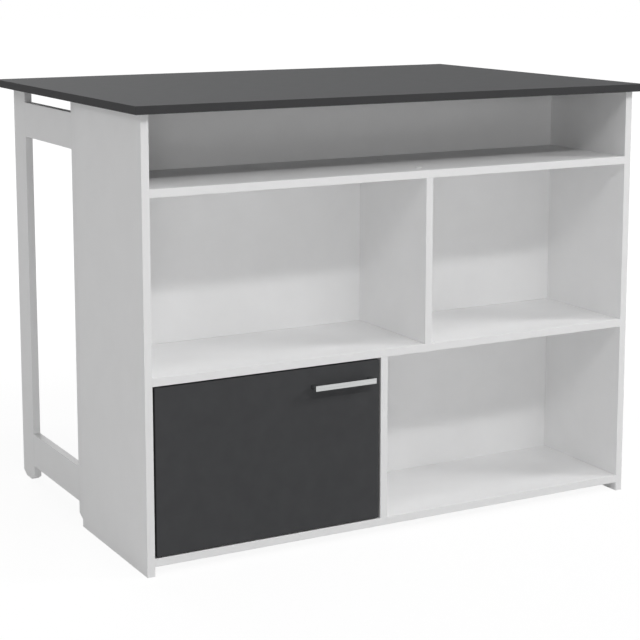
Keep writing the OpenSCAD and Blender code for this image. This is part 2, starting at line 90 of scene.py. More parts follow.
class Slot(Enum):
    """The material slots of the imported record."""

    WHITE_BOARD = "white_board"
    ANTHRACITE_BOARD = "anthracite_board"
    BRUSHED_HANDLE = "brushed_handle"
    ZINC_PLATED_STEEL = "zinc_plated_steel"
    STEEL = "steel"
    ZINC_ALLOY = "zinc_alloy"
    BEECH = "beech"
    NYLON = "nylon"
    BLACK_NYLON = "black_nylon"
    BLACKENED_STEEL = "blackened_steel"
    WHITE_PLASTIC = "white_plastic"
    MAGNET = "magnet"


class Body(Enum):
    """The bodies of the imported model."""

    TABLE = "table"
    DOOR = "door"


class Axis(Enum):
    """An axis of the model's frame."""

    X = 0
    Y = 1
    Z = 2


class Side(Enum):
    """The two side frames, by the first word of their nodes."""

    LEFT = "left"
    RIGHT = "right"


class HeadForm(Enum):
    """The outline of a screw's head."""

    FLAT = "flat"
    PAN = "pan"


# Half the outline of each head, from its middle outwards, in shares of its radius and its height.
HEAD_OUTLINES: dict[HeadForm, tuple[Point, ...]] = {
    HeadForm.FLAT: ((0.0, 0.0), (0.96, 0.0), (1.0, 0.06)),
    HeadForm.PAN: ((0.0, 0.0), (0.5, 0.04), (0.8, 0.2), (0.95, 0.48), (1.0, 0.8), (1.0, 1.0)),
}


class Recipe:
    """Adds and joins the shader nodes of one material."""

    def __init__(self, name: str) -> None:
        """Starts a material with one surface shader.

        Args:
            name: Name of the material.
        """
        self.material = bpy.data.materials.new(name)
        self.material.use_nodes = True
        self.tree = self.material.node_tree
        self.tree.nodes.clear()
        self.surface = self.add("ShaderNodeBsdfPrincipled")
        output = self.add("ShaderNodeOutputMaterial")
        self.join(self.surface.outputs["BSDF"], output.inputs["Surface"])
        self.place = self.add("ShaderNodeTexCoord").outputs["Object"]

    def add(self, kind: str) -> bpy.types.Node:
        """Adds a node of the given kind and returns it."""
        return self.tree.nodes.new(kind)

    def join(self, output: Socket, target: Socket) -> None:
        """Joins an output socket to an input socket."""
        self.tree.links.new(output, target)

    def fix(self, socket: str, value: float) -> None:
        """Sets one of the surface's own sockets to a number."""
        self.surface.inputs[socket].default_value = value

    def noise(self, cell: Cell, detail: float) -> Socket:
        """Makes noise in cells of a given size.

        Args:
            cell: Size of a cell along X, Y and Z, in metres.
            detail: How many finer octaves are added.

        Returns:
            The noise's value, from 0 to 1.
        """
        mapping = self.add("ShaderNodeMapping")
        mapping.inputs["Scale"].default_value = [1 / length for length in cell]
        self.join(self.place, mapping.inputs["Vector"])
        noise = self.add("ShaderNodeTexNoise")
        noise.inputs["Scale"].default_value = 1.0
        noise.inputs["Detail"].default_value = detail
        self.join(mapping.outputs["Vector"], noise.inputs["Vector"])
        return noise.outputs["Fac"]

    def tint(self, value: Socket, dark: Colour, light: Colour) -> None:
        """Colours the surface between two colours.

        Args:
            value: The noise that chooses between the colours.
            dark: Colour where the noise is low.
            light: Colour where the noise is high.
        """
        ramp = self.add("ShaderNodeValToRGB")
        first, last = ramp.color_ramp.elements
        first.position, last.position = NOISE_LOW, NOISE_HIGH
        first.color, last.color = (*dark, 1.0), (*light, 1.0)
        self.join(value, ramp.inputs["Fac"])
        self.join(ramp.outputs["Color"], self.surface.inputs["Base Color"])

    def mottle(self, value: Socket, colour: Colour, share: float) -> None:
        """Lets the surface's colour vary by a share to both sides."""
        self.tint(value, shade(colour, 1 - share), shade(colour, 1 + share))

    def vary_roughness(self, value: Socket, low: float, high: float) -> None:
        """Lets the surface's roughness follow a noise.

        Args:
            value: The noise.
            low: Roughness where the noise is low.
            high: Roughness where the noise is high.
        """
        ramp = self.add("ShaderNodeMapRange")
        ramp.inputs["From Min"].default_value = NOISE_LOW
        ramp.inputs["From Max"].default_value = NOISE_HIGH
        ramp.inputs["To Min"].default_value = low
        ramp.inputs["To Max"].default_value = high
        self.join(value, ramp.inputs["Value"])
        self.join(ramp.outputs["Result"], self.surface.inputs["Roughness"])

    def relief(self, height: Socket, depth: float, strength: float) -> None:
        """Gives the surface a fine relief.

        Args:
            height: Height over the surface, from 0 to 1.
            depth: Depth of the relief, in metres.
            strength: How much of it shows, from 0 to 1.
        """
        bump = self.add("ShaderNodeBump")
        bump.inputs["Distance"].default_value = depth
        bump.inputs["Strength"].default_value = strength
        self.join(height, bump.inputs["Height"])
        self.join(bump.outputs["Normal"], self.surface.inputs["Normal"])


def shade(colour: Colour, factor: float) -> Colour:
    """Makes a colour lighter or darker by a factor."""
    return tuple(min(1.0, part * factor) for part in colour)


@dataclass(frozen=True, kw_only=True)
class Finish:
    """What the finishes share.

    Attributes:
        smoothest: Lowest roughness.
        roughest: Highest roughness.
    """

    smoothest: float
    roughest: float

    def paint(self, recipe: Recipe) -> None:
        """Adds the finish's own nodes to a recipe."""
        raise NotImplementedError

    def build(self, name: str) -> bpy.types.Material:
        """Makes the finish's material.

        Args:
            name: Name of the material.

        Returns:
            The material.
        """
        recipe = Recipe(name)
        self.paint(recipe)
        return recipe.material


@dataclass(frozen=True)
class MelamineFinish(Finish):
    """Printed and pressed melamine on a board: even, with a fine pearl and a satin surface.

    Attributes:
        colour: Colour of the printed paper.
        mottle: Share by which the colour varies.
        cloud: Size of the slow variation, in metres.
        pearl: Size of the pressed pearls, in metres.
        pearl_depth: Depth of the pearls, in metres.
        gloss: Specular level.
        cloud_detail: Finer octaves of the slow variation.
        pearl_detail: Finer octaves of the pearls.
        pearl_strength: How much of the pearls shows.
    """

    colour: Colour
    mottle: float
    cloud: float
    pearl: float
    pearl_depth: float
    gloss: float
    cloud_detail: float = 4.0
    pearl_detail: float = 1.0
    pearl_strength: float = 0.6

    def paint(self, recipe: Recipe) -> None:
        """Adds the printed paper and its pearls.

        Args:
            recipe: The material's recipe.
        """
        recipe.mottle(recipe.noise((self.cloud,) * 3, self.cloud_detail), self.colour, self.mottle)
        pearl = recipe.noise((self.pearl,) * 3, self.pearl_detail)
        recipe.vary_roughness(pearl, self.smoothest, self.roughest)
        recipe.relief(pearl, self.pearl_depth, self.pearl_strength)
        recipe.fix("Specular IOR Level", self.gloss)


@dataclass(frozen=True)
class BrushedFinish(Finish):
    """Metal with fine brush lines.

    Attributes:
        colour: Colour of the metal.
        line_length: Length of a brush line along X, in metres.
        line_width: Width of a brush line, in metres.
        line_depth: Depth of a brush line, in metres.
        contrast: Share by which the lines' colour varies.
        anisotropy: How much the highlight is drawn out across the lines.
        line_detail: Finer octaves of the lines.
        line_strength: How much of the lines' depth shows.
    """

    colour: Colour
    line_length: float
    line_width: float
    line_depth: float
    contrast: float
    anisotropy: float
    line_detail: float = 5.0
    line_strength: float = 0.35

    def paint(self, recipe: Recipe) -> None:
        """Adds the metal and its brush lines.

        Args:
            recipe: The material's recipe.
        """
        lines = recipe.noise((self.line_length, self.line_width, self.line_width), self.line_detail)
        recipe.mottle(lines, self.colour, self.contrast)
        recipe.vary_roughness(lines, self.smoothest, self.roughest)
        recipe.relief(lines, self.line_depth, self.line_strength)
        recipe.fix("Metallic", 1.0)
        recipe.fix("Anisotropic", self.anisotropy)


@dataclass(frozen=True)
class PlatedFinish(Finish):
    """Plated or cast metal: a slight drift of colour over a fine, uneven skin.

    Attributes:
        cool: Colour of the cooler patches.
        warm: Colour of the warmer patches.
        patch: Size of the patches, in metres.
        skin: Size of the grains of the skin, in metres.
        skin_depth: Depth of the skin, in metres.
        patch_detail: Finer octaves of the patches.
        skin_detail: Finer octaves of the skin.
        skin_strength: How much of the skin's depth shows.
    """

    cool: Colour
    warm: Colour
    patch: float
    skin: float
    skin_depth: float
    patch_detail: float = 3.0
    skin_detail: float = 2.0
    skin_strength: float = 0.5

    def paint(self, recipe: Recipe) -> None:
        """Adds the patches and the skin.

        Args:
            recipe: The material's recipe.
        """
        recipe.tint(recipe.noise((self.patch,) * 3, self.patch_detail), self.cool, self.warm)
        skin = recipe.noise((self.skin,) * 3, self.skin_detail)
        recipe.vary_roughness(skin, self.smoothest, self.roughest)
        recipe.relief(skin, self.skin_depth, self.skin_strength)
        recipe.fix("Metallic", 1.0)


@dataclass(frozen=True)
class BeechFinish(Finish):
    """Turned beech with short dark, rougher rays along the grain.

    Attributes:
        light: Colour between the rays.
        dark: Colour of the rays.
        ray_length: Length of a ray along X, in metres.
        ray_width: Width of a ray, in metres.
        ray_depth: Depth of a ray, in metres.
        ray_detail: Finer octaves of the rays.
        ray_strength: How much of the rays' depth shows.
    """

    light: Colour
    dark: Colour
    ray_length: float
    ray_width: float
    ray_depth: float
    ray_detail: float = 5.0
    ray_strength: float = 0.5

    def paint(self, recipe: Recipe) -> None:
        """Adds the wood and its rays.

        Args:
            recipe: The material's recipe.
        """
        rays = recipe.noise((self.ray_length, self.ray_width, self.ray_width), self.ray_detail)
        recipe.tint(rays, self.dark, self.light)
        recipe.vary_roughness(rays, self.roughest, self.smoothest)
        recipe.relief(rays, self.ray_depth, self.ray_strength)


@dataclass(frozen=True)
class MouldedFinish(Finish):
    """Moulded plastic or sintered ferrite: one colour with a fine mould texture.

    Attributes:
        colour: Colour of the material.
        mottle: Share by which the colour varies.
        texture: Size of the mould's texture, in metres.
        texture_depth: Depth of the texture, in metres.
        texture_detail: Finer octaves of the texture.
        texture_strength: How much of the texture's depth shows.
    """

    colour: Colour
    mottle: float
    texture: float
    texture_depth: float
    texture_detail: float = 3.0
    texture_strength: float = 0.5

    def paint(self, recipe: Recipe) -> None:
        """Adds the colour and the mould's texture.

        Args:
            recipe: The material's recipe.
        """
        texture = recipe.noise((self.texture,) * 3, self.texture_detail)
        recipe.mottle(texture, self.colour, self.mottle)
        recipe.vary_roughness(texture, self.smoothest, self.roughest)
        recipe.relief(texture, self.texture_depth, self.texture_strength)


FINISHES: dict[Slot, Finish] = {
    Slot.WHITE_BOARD: MelamineFinish(
        colour=(0.85, 0.85, 0.852), mottle=0.012, cloud=0.06, pearl=0.9 * MM, pearl_depth=0.02 * MM,
        smoothest=0.42, roughest=0.5, gloss=0.5,
    ),
    Slot.ANTHRACITE_BOARD: MelamineFinish(
        colour=(0.049, 0.0498, 0.0519), mottle=0.05, cloud=0.03, pearl=0.8 * MM, pearl_depth=0.03 * MM,
        smoothest=0.72, roughest=0.8, gloss=0.15,
    ),
    Slot.BRUSHED_HANDLE: BrushedFinish(
        colour=(0.55, 0.56, 0.56), line_length=60 * MM, line_width=0.9 * MM, line_depth=0.012 * MM,
        contrast=0.11, smoothest=0.16, roughest=0.26, anisotropy=0.4,
    ),
    Slot.ZINC_PLATED_STEEL: PlatedFinish(
        cool=(0.55, 0.57, 0.6), warm=(0.63, 0.62, 0.58), patch=4 * MM, skin=0.3 * MM,
        skin_depth=0.02 * MM, smoothest=0.28, roughest=0.42,
    ),
    Slot.STEEL: PlatedFinish(
        cool=(0.56, 0.57, 0.58), warm=(0.62, 0.62, 0.61), patch=6 * MM, skin=0.2 * MM,
        skin_depth=0.01 * MM, smoothest=0.22, roughest=0.34,
    ),
    Slot.ZINC_ALLOY: PlatedFinish(
        cool=(0.5, 0.5, 0.51), warm=(0.58, 0.57, 0.55), patch=2 * MM, skin=0.4 * MM,
        skin_depth=0.05 * MM, smoothest=0.4, roughest=0.55,
    ),
    Slot.BEECH: BeechFinish(
        light=(0.6, 0.4, 0.22), dark=(0.45, 0.27, 0.13), ray_length=6 * MM, ray_width=0.4 * MM,
        ray_depth=0.05 * MM, smoothest=0.6, roughest=0.75,
    ),
    Slot.NYLON: MouldedFinish(
        colour=(0.74, 0.73, 0.69), mottle=0.03, texture=0.5 * MM, texture_depth=0.02 * MM,
        smoothest=0.4, roughest=0.55,
    ),
    Slot.BLACK_NYLON: MouldedFinish(
        colour=(0.018, 0.018, 0.019), mottle=0.15, texture=0.5 * MM, texture_depth=0.02 * MM,
        smoothest=0.5, roughest=0.62,
    ),
    Slot.BLACKENED_STEEL: PlatedFinish(
        cool=(0.03, 0.031, 0.034), warm=(0.042, 0.04, 0.038), patch=3 * MM, skin=0.2 * MM,
        skin_depth=0.01 * MM, smoothest=0.4, roughest=0.52,
    ),
    Slot.WHITE_PLASTIC: MouldedFinish(
        colour=(0.9, 0.9, 0.9), mottle=0.01, texture=0.4 * MM, texture_depth=0.005 * MM,
        smoothest=0.24, roughest=0.3,
    ),
    Slot.MAGNET: MouldedFinish(
        colour=(0.03, 0.03, 0.032), mottle=0.25, texture=0.3 * MM, texture_depth=0.04 * MM,
        smoothest=0.5, roughest=0.7,
    ),
}

BAND_FINISHES_WITH_PAINTED_SHADE: dict[Slot, Finish] = {
    # Darker than the white board's colour: painted shade that holds down the front edges, which the lamps
    # light more than the boards' tops.
    Slot.WHITE_BOARD: MouldedFinish(
        colour=(0.75, 0.75, 0.752), mottle=0.01, texture=0.7 * MM, texture_depth=0.015 * MM,
        smoothest=0.4, roughest=0.48,
    ),
    # Darker than the anthracite board's colour: painted shade that deepens the door's gaps and darkens the
    # tabletop's edges.
    Slot.ANTHRACITE_BOARD: MelamineFinish(
        colour=(0.04, 0.04, 0.0415), mottle=0.03, cloud=0.03, pearl=0.7 * MM, pearl_depth=0.02 * MM,
        smoothest=0.66, roughest=0.74, gloss=0.15,
    ),
}


def slot_of(place: bpy.types.MaterialSlot) -> Slot:
    """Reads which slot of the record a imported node's material slot is."""
    return Slot(place.name.split(".")[0])


class FinishBook:
    """Builds each finish once and puts it on nodes and pieces."""

    def __init__(self) -> None:
        """Starts with no material built."""
        self.built: dict[str, bpy.types.Material] = {}

    def material(self, slot: Slot, band: bool = False) -> bpy.types.Material:
        """Gives the material of a slot.

        Args:
            slot: The record's material slot.
            band: Whether it is for the edge band of a board of that slot, whose colour is darker than the
                board's as painted shade.

        Returns:
            The material, built at its first use.
        """
        name = slot.value + ("_band_painted_shade_finish" if band else "_finish")
        if name not in self.built:
            finish = BAND_FINISHES_WITH_PAINTED_SHADE[slot] if band else FINISHES[slot]
            self.built[name] = finish.build(name)
        return self.built[name]

    def dress(self, node: str, edge_radius: float, inset: float = 0.0) -> None:
        """Gives a node its finish and softens its edges.

        Args:
            node: Name of the node.
            edge_radius: Radius of its edges, in metres.
            inset: How far its faces lie under its edge band, in metres.
        """
        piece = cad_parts[node]
        for place in piece.material_slots:
            place.material = self.material(slot_of(place))
        soften_edges(piece, edge_radius, inset)
        log.info("dressed %s, edges %.2f mm", node, edge_radius / MM)


def soften_edges(piece: bpy.types.Object, radius: float, inset: float) -> None:
    """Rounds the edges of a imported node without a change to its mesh.

    Args:
        piece: The node's object.
        radius: Radius of the edges, in metres.
        inset: How far the faces are drawn in, in metres.
    """
    piece.modifiers.new("join_points", "WELD").merge_threshold = SAME_POINT
    flat = piece.modifiers.new("flat_faces", "DECIMATE")
    flat.decimate_type = "DISSOLVE"
    flat.angle_limit = FLAT_WITHIN
    if inset:
        # A box's corner moves along its diagonal, so that each of its three faces moves by the inset.
        under = piece.modifiers.new("under_band", "DISPLACE")
        under.mid_level = 0.0
        under.strength = -inset * math.sqrt(3)
    bevel = piece.modifiers.new("round_edges", "BEVEL")
    bevel.width = radius
    bevel.segments = ROUND_STEPS
    bevel.limit_method = "ANGLE"
    bevel.angle_limit = ROUND_FROM
    bevel.use_clamp_overlap = False
    even_normals(piece)


def even_normals(piece: bpy.types.Object) -> None:
    """Keeps flat faces flat beside rounded edges."""
    piece.modifiers.new("even_normals", "WEIGHTED_NORMAL").keep_sharp = True


def add_object(name: str, data: bpy.types.ID) -> bpy.types.Object:
    """Adds an object to the scene.

    Args:
        name: Name of the object.
        data: Its mesh, light or camera.

    Returns:
        The object.
    """
    made = bpy.data.objects.new(name, data)
    bpy.context.scene.collection.objects.link(made)
    return made


def add_mesh(name: str, mesh: bmesh.types.BMesh) -> bpy.types.Object:
    """Adds a mesh to the scene as an object.

    Args:
        name: Name of the object and of its mesh.
        mesh: The mesh. It is freed.

    Returns:
        The object.
    """
    data = bpy.data.meshes.new(name)
    mesh.to_mesh(data)
    mesh.free()
    return add_object(name, data)


def finish_piece(
    name: str, mesh: bmesh.types.BMesh, body: Body, material: bpy.types.Material
) -> bpy.types.Object:
    """Turns a mesh into a piece of the table.

    Args:
        name: Name of the piece.
        mesh: Its mesh, in the model's frame. It is freed.
        body: The body that it rides on.
        material: Its material.

    Returns:
        The piece.
    """
    bmesh.ops.recalc_face_normals(mesh, faces=mesh.faces)
    for face in mesh.faces:
        face.smooth = True
    for edge in mesh.edges:
        edge.smooth = edge.calc_face_angle(0.0) < SHARP_FROM
    piece = add_mesh(name, mesh)
    piece.data.materials.append(material)
    even_normals(piece)
    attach(piece, body.value)
    log.info("built %s on %s: %d faces", name, body.value, len(piece.data.polygons))
    return piece


@dataclass(frozen=True)
class EdgeBand:
    """The plastic band that is glued along edges of one board.

    Attributes:
        board: Node of the board.
        across: Axis of the board's thickness.
        thickness: Thickness of the band, in metres.
        proud: How far the band stands out from the board, in metres.
        radius: Radius of the band's outer edges, in metres.
        steps: Number of steps round an outer edge.
    """

    board: str
    across: Axis
    thickness: float = 0.8 * MM
    proud: float = 0.05 * MM
    radius: float = 0.55 * MM
    steps: int = 3

    def plane_axes(self) -> tuple[int, int]:
        """Gives the two axes of the board's plane, in order."""
        first, second = (axis.value for axis in Axis if axis is not self.across)
        return first, second

    def rectangle(self) -> list[Point]:
        """Finds the board's corners in its plane.

        Returns:
            The four corners, in order round the board.
        """
        low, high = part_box(self.board)
        u, v = self.plane_axes()
        return [(low[u], low[v]), (high[u], low[v]), (high[u], high[v]), (low[u], high[v])]

    def edges(self, ends: Axis) -> tuple[list[Point], list[Point]]:
        """Finds two opposite edges of the board.

        Args:
            ends: The axis of the board's plane at whose ends the edges lie.

        Returns:
            The edge at the low end and the edge at the high end.
        """
        first, second, third, fourth = self.rectangle()
        if ends.value == self.plane_axes()[0]:
            return [first, fourth], [second, third]
        return [first, second], [fourth, third]

    def lift(self, point: Point, height: float) -> Vector:
        """Puts a point of the board's plane into the model's frame.

        Args:
            point: The point in the plane.
            height: Its place along the board's thickness.

        Returns:
            The point in the model's frame.
        """
        u, v = self.plane_axes()
        place = Vector((0.0, 0.0, 0.0))
        place[u], place[v], place[self.across.value] = point[0], point[1], height
        return place

    def stations(self, outline: list[Point], closed: bool) -> list[tuple[Vector, Vector]]:
        """Finds which way the band stands out at each point of an outline.

        Args:
            outline: Points along the board's edge.
            closed: Whether the last point joins the first.

        Returns:
            Each point with its mitred outward direction.
        """
        points = [Vector(point) for point in outline]
        middle = Vector(centre_of(self.rectangle()))
        normals = []
        for start, end in zip(points, points[1:] + points[:1]):
            along = (end - start).normalized()
            normal = Vector((along.y, -along.x))
            normals.append(normal if normal.dot((start + end) / 2 - middle) > 0 else -normal)
        found = []
        for index, point in enumerate(points):
            before, after = normals[index - 1], normals[index]
            if not closed and index == 0:
                before = after
            if not closed and index == len(points) - 1:
                after = before
            found.append((point, (before + after) / (1 + before.dot(after))))
        return found

    def add_strip(self, mesh: bmesh.types.BMesh, outline: list[Point], closed: bool) -> None:
        """Adds the band along an outline, with its outer edges rounded.

        Args:
            mesh: The mesh that takes the strip.
            outline: Points along the board's edge.
            closed: Whether the last point joins the first.
        """
        low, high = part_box(self.board)
        lowest = low[self.across.value] - self.proud
        highest = high[self.across.value] + self.proud
        rings = []
        for point, outward in self.stations(outline, closed):
            outer = point + outward * self.proud
            inner = point - outward * self.thickness
            corners = ((outer, lowest), (outer, highest), (inner, highest), (inner, lowest))
            rings.append([mesh.verts.new(self.lift(place, height)) for place, height in corners])
        pairs = list(zip(rings, rings[1:] + rings[:1])) if closed else list(zip(rings, rings[1:]))
        for ring, following in pairs:
            for corner in range(len(ring)):
                beside = (corner + 1) % len(ring)
                mesh.faces.new((ring[corner], ring[beside], following[beside], following[corner]))
        if not closed:
            mesh.faces.new(rings[0])
            mesh.faces.new(rings[-1])
        rounded = [mesh.edges.get((a[side], b[side])) for a, b in pairs for side in (0, 1)]
        turning = rings if closed else rings[1:-1]
        rounded += [mesh.edges.get((ring[0], ring[1])) for ring in turning]
        bmesh.ops.bevel(
            mesh, geom=rounded, offset=self.radius, segments=self.steps, profile=ROUND_PROFILE, affect="EDGES"
        )


def centre_of(points: list[Point]) -> Point:
    """Gives the middle of a list of points."""
    return sum(p[0] for p in points) / len(points), sum(p[1] for p in points) / len(points)


@dataclass
class SubAssembly:
    """What the sub-assemblies share.

    Attributes:
        book: The finishes.
        edge_radius: Radius of a board's edges, in metres.
    """

    book: FinishBook
    edge_radius: float = 0.5 * MM

    def dress_all(self, nodes: list[str]) -> None:
        """Dresses several nodes as boards."""
        for node in nodes:
            self.book.dress(node, self.edge_radius)

    def glue_band(
        self,
        band: EdgeBand,
        outlines: list[list[Point]],
        closed: bool = False,
        slot: Slot = Slot.WHITE_BOARD,
        body: Body = Body.TABLE,
    ) -> None:
        """Builds the edge band of one board.

        Args:
            band: The band's sizes and its board.
            outlines: The edges that it covers.
            closed: Whether each outline is closed.
            slot: Its material slot.
            body: The body that it rides on.
        """
        mesh = bmesh.new()
        for outline in outlines:
            band.add_strip(mesh, outline, closed)
        finish_piece(band.board + "_edge_band", mesh, body, self.book.material(slot, band=True))


@dataclass
class Tabletop(SubAssembly):
    """The anthracite worktop, banded all round.

    Attributes:
        inset: How far the board's faces lie under its band, in metres.
    """

    inset: float = 0.05 * MM

    def build(self) -> None:
        """Dresses the board and bands its four edges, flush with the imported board."""
        self.book.dress("tabletop", self.edge_radius, self.inset)
        band = EdgeBand("tabletop", Axis.Z, proud=0.0, radius=self.edge_radius)
        self.glue_band(band, [band.rectangle()], closed=True, slot=Slot.ANTHRACITE_BOARD)


@dataclass
class StorageUnit(SubAssembly):
    """The white storage unit: side panels, boards, dividers and back panels."""

    def build(self) -> None:
        """Dresses every board of the unit and bands the edges that show."""
        panels = ["left_side_panel", "right_side_panel"]
        boards = ["bottom_board", "middle_shelf", "upper_shelf"]
        dividers = ["upper_divider", "lower_divider"]
        self.dress_all(panels + boards + dividers + ["lower_back_panel", "upper_back_panel"])
        for panel in panels:
            self.band_front(EdgeBand(panel, Axis.X), rear_too=True)
        for board in boards:
            self.band_front(EdgeBand(board, Axis.Z), rear_too=False)
        for divider in dividers:
            self.band_front(EdgeBand(divider, Axis.X), rear_too=False)

    def band_front(self, band: EdgeBand, rear_too: bool) -> None:
        """Bands a board's front edge.

        Args:
            band: The band's sizes and its board.
            rear_too: Whether the board's rear edge shows as well.
        """
        front, rear = band.edges(Axis.Y)
        self.glue_band(band, [front, rear] if rear_too else [front])


@dataclass
class SideFrame(SubAssembly):
    """One white side frame: a post, a rear leg and two rails.

    Attributes:
        side: Which side it stands on.
    """

    side: Side = Side.LEFT

    def build(self) -> None:
        """Dresses the frame's boards and bands their edges."""
        uprights = [self.node("post"), self.node("rear_leg")]
        rails = [self.node("top_rail"), self.node("bottom_rail")]
        self.dress_all(uprights + rails)
        for upright in uprights:
            self.glue_band(EdgeBand(upright, Axis.X), self.foot_outlines(upright))
        for rail in rails:
            band = EdgeBand(rail, Axis.X)
            self.glue_band(band, list(band.edges(Axis.Z)))

    def node(self, board: str) -> str:
        """Gives the node's name of one of the frame's boards."""
        return f"{self.side.value}_{board}"

    def foot_outlines(self, upright: str) -> list[list[Point]]:
        """Finds an upright's two edges, each down to the end of its foot's bevel.

        Args:
            upright: Node of the upright.

        Returns:
            Points of depth and height along both edges, which end just above the floor.
        """
        low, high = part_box(upright)
        near = 0.1 * MM
        places = [vertex.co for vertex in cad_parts[upright].data.vertices]
        sole = [place.y for place in places if place.z < low.z + near]
        bevel_top = min(place.z for place in places if place.y < low.y + near)
        return [
            [(edge, high.z), (edge, bevel_top), (end, low.z + near)]
            for edge, end in ((low.y, min(sole)), (high.y, max(sole)))
        ]


@dataclass(frozen=True)
class RoundSolid:
    """A round solid of a node, measured along its own axis.

    Attributes:
        seat: Middle of the outer face of its head.
        inward: Direction from the head into the material.
        length: Whole length.
        head_radius: Radius of the head.
        head_height: Height of the head.
        shank_radius: Radius at the far end.
    """

    seat: Vector
    inward: Vector
    length: float
    head_radius: float
    head_height: float
    shank_radius: float


def loose_solids(node: str) -> list[list[Vector]]:
    """Splits a node into its separate solids.

    Args:
        node: Name of the node.

    Returns:
        The points of each solid, ordered by the solids' places.
    """
    mesh = bmesh.new()
    mesh.from_mesh(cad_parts[node].data)
    bmesh.ops.remove_doubles(mesh, verts=mesh.verts, dist=SAME_POINT)
    left = dict.fromkeys(mesh.verts)
    solids = []
    while left:
        waiting = [left.popitem()[0]]
        found = []
        while waiting:
            vertex = waiting.pop()
            found.append(vertex.co.copy())
            for edge in vertex.link_edges:
                other = edge.other_vert(vertex)
                if other in left:
                    del left[other]
                    waiting.append(other)
        solids.append(found)
    mesh.free()
    return sorted(solids, key=rough_place)


def rough_place(points: list[Vector]) -> tuple[float, ...]:
    """Gives the mean of a solid's points, rounded to a hundredth of a millimetre."""
    return tuple(round(sum(point[axis] for point in points) / len(points), 5) for axis in range(3))


def extents_of(points: list[Vector]) -> list[float]:
    """Gives the extent of a solid's points along each axis."""
    return [max(p[i] for p in points) - min(p[i] for p in points) for i in range(3)]


def radius_of(point: Vector, middle: Vector, along: int) -> float:
    """Gives a point's distance from the axis through a middle."""
    return math.hypot(*((point - middle)[axis] for axis in range(3) if axis != along))


def measure_round(points: list[Vector], along: int, head_at_high: bool | None = None) -> RoundSolid:
    """Measures a round solid.

    Args:
        points: Its points.
        along: Index of the axis that it is round about.
        head_at_high: Whether its head is at the high end, or None to take the wider end.

    Returns:
        The measured solid.
    """
    low = [min(p[i] for p in points) for i in range(3)]
    high = [max(p[i] for p in points) for i in range(3)]
    middle = Vector([(a + b) / 2 for a, b in zip(low, high)])
    near = 0.02 * MM
    low_radius = max(radius_of(p, middle, along) for p in points if p[along] < low[along] + near)
    high_radius = max(radius_of(p, middle, along) for p in points if p[along] > high[along] - near)
    if head_at_high is None:
        head_at_high = high_radius > low_radius
    seat, inward = middle.copy(), Vector((0.0, 0.0, 0.0))
    seat[along] = high[along] if head_at_high else low[along]
    inward[along] = -1.0 if head_at_high else 1.0
    head, shank = (high_radius, low_radius) if head_at_high else (low_radius, high_radius)
    depths = [abs(p[along] - seat[along]) for p in points if abs(radius_of(p, middle, along) - shank) < near]
    return RoundSolid(seat, inward, high[along] - low[along], head, min(depths), shank)


def turned(profile: list[Point], steps: int) -> bmesh.types.BMesh:
    """Turns a profile about Z.

    Args:
        profile: Points of radius and height. The first and the last lie on the axis.
        steps: Number of steps round.

    Returns:
        The closed mesh.
    """
    mesh = bmesh.new()
    first = mesh.verts.new((0.0, 0.0, profile[0][1]))
    last = mesh.verts.new((0.0, 0.0, profile[-1][1]))
    turns = [math.tau * step / steps for step in range(steps)]
    rings = [
        [mesh.verts.new((radius * math.cos(turn), radius * math.sin(turn), height)) for turn in turns]
        for radius, height in profile[1:-1]
    ]
    for step in range(steps):
        beside = (step + 1) % steps
        mesh.faces.new((first, rings[0][beside], rings[0][step]))
        mesh.faces.new((last, rings[-1][step], rings[-1][beside]))
        for ring, following in zip(rings, rings[1:]):
            mesh.faces.new((ring[step], ring[beside], following[beside], following[step]))
    bmesh.ops.recalc_face_normals(mesh, faces=mesh.faces)
    return mesh


def place_copies(pattern: bpy.types.Mesh, solids: list[RoundSolid]) -> bmesh.types.BMesh:
    """Copies a mesh that points along +Z to several measured solids.

    Args:
        pattern: The mesh, with its head's outer face at the origin.
        solids: Where the copies go.

    Returns:
        One mesh with all the copies.
    """
    mesh = bmesh.new()
    for solid in solids:
        copy = pattern.copy()
        turn = Vector((0.0, 0.0, 1.0)).rotation_difference(solid.inward).to_matrix().to_4x4()
        copy.transform(Matrix.Translation(solid.seat) @ turn)
        mesh.from_mesh(copy)
        bpy.data.meshes.remove(copy)
    return mesh


